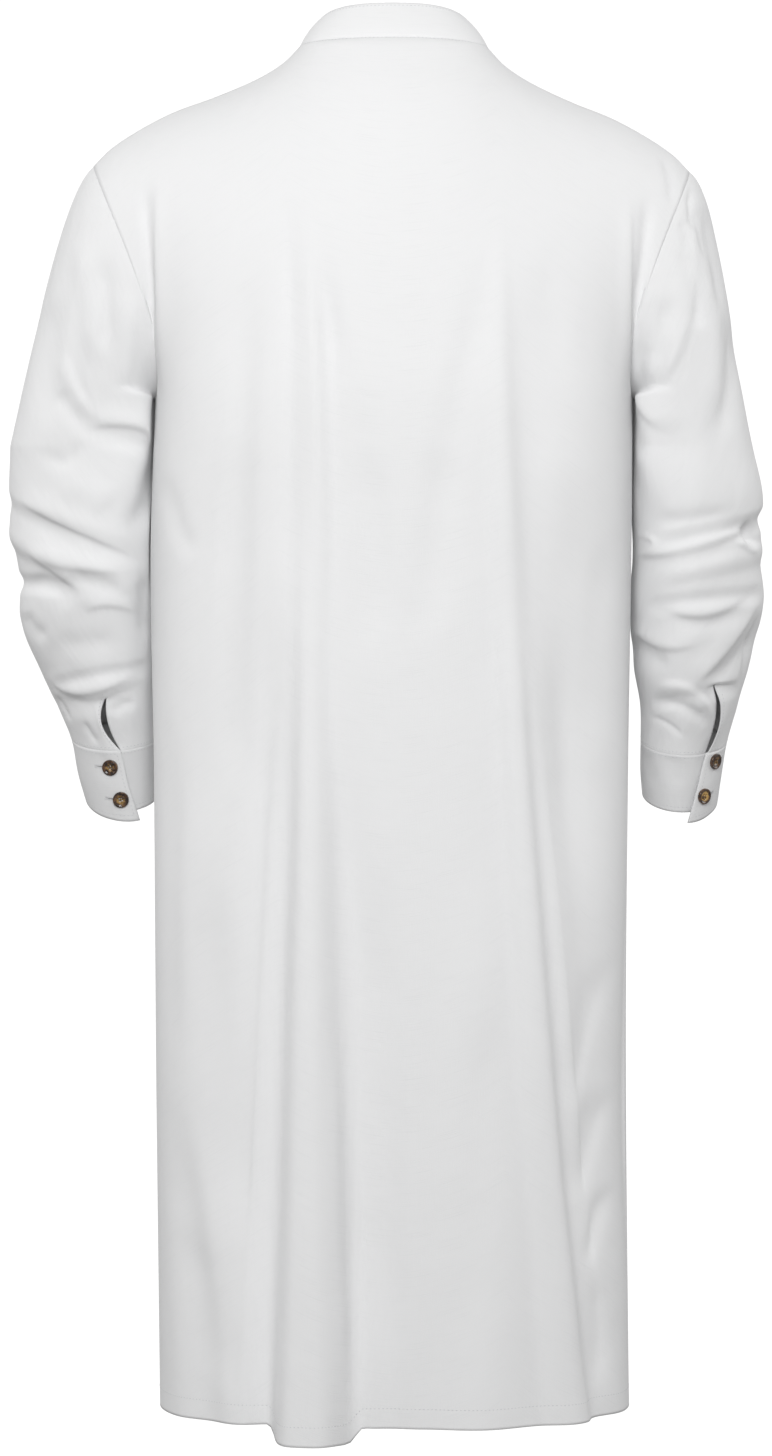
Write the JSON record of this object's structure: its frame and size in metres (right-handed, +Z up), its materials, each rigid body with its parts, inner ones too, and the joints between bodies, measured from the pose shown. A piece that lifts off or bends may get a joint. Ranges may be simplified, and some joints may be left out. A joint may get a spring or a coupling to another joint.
{
  "type": "kaftan shirt",
  "caption": "Long straight kaftan shirt with a stand collar, half placket, set-in long sleeves and buttoned cuffs, hollow and filled out as worn",
  "frame": {"origin": "middle of the neck opening, level with the collar seam at the back of the neck, where the shirt hangs from the wearer's neck and shoulders", "axes": "+Z up, -Y the way the shirt's front faces, +X towards the wearer's left sleeve"},
  "size_m": [0.6312, 0.2946, 1.1627],
  "materials": {
    "cloth": "white plain-weave linen and cotton cloth with faint slubs, soft and matt",
    "buttons": "dark brown mottled horn-look buttons with a golden middle"
  },
  "bodies": {
    "root": {"back": "cloth", "front": "cloth", "sleeve_left": "cloth", "sleeve_right": "cloth", "cuff_left": "cloth", "cuff_right": "cloth", "collar": "cloth", "placket_top": "cloth", "placket_under": "cloth", "collar_button": "buttons", "placket_button_1": "buttons", "placket_button_2": "buttons", "placket_button_3": "buttons", "placket_button_4": "buttons", "cuff_button_left_1": "buttons", "cuff_button_left_2": "buttons", "cuff_button_right_1": "buttons", "cuff_button_right_2": "buttons"}
  },
  "joints": []
}
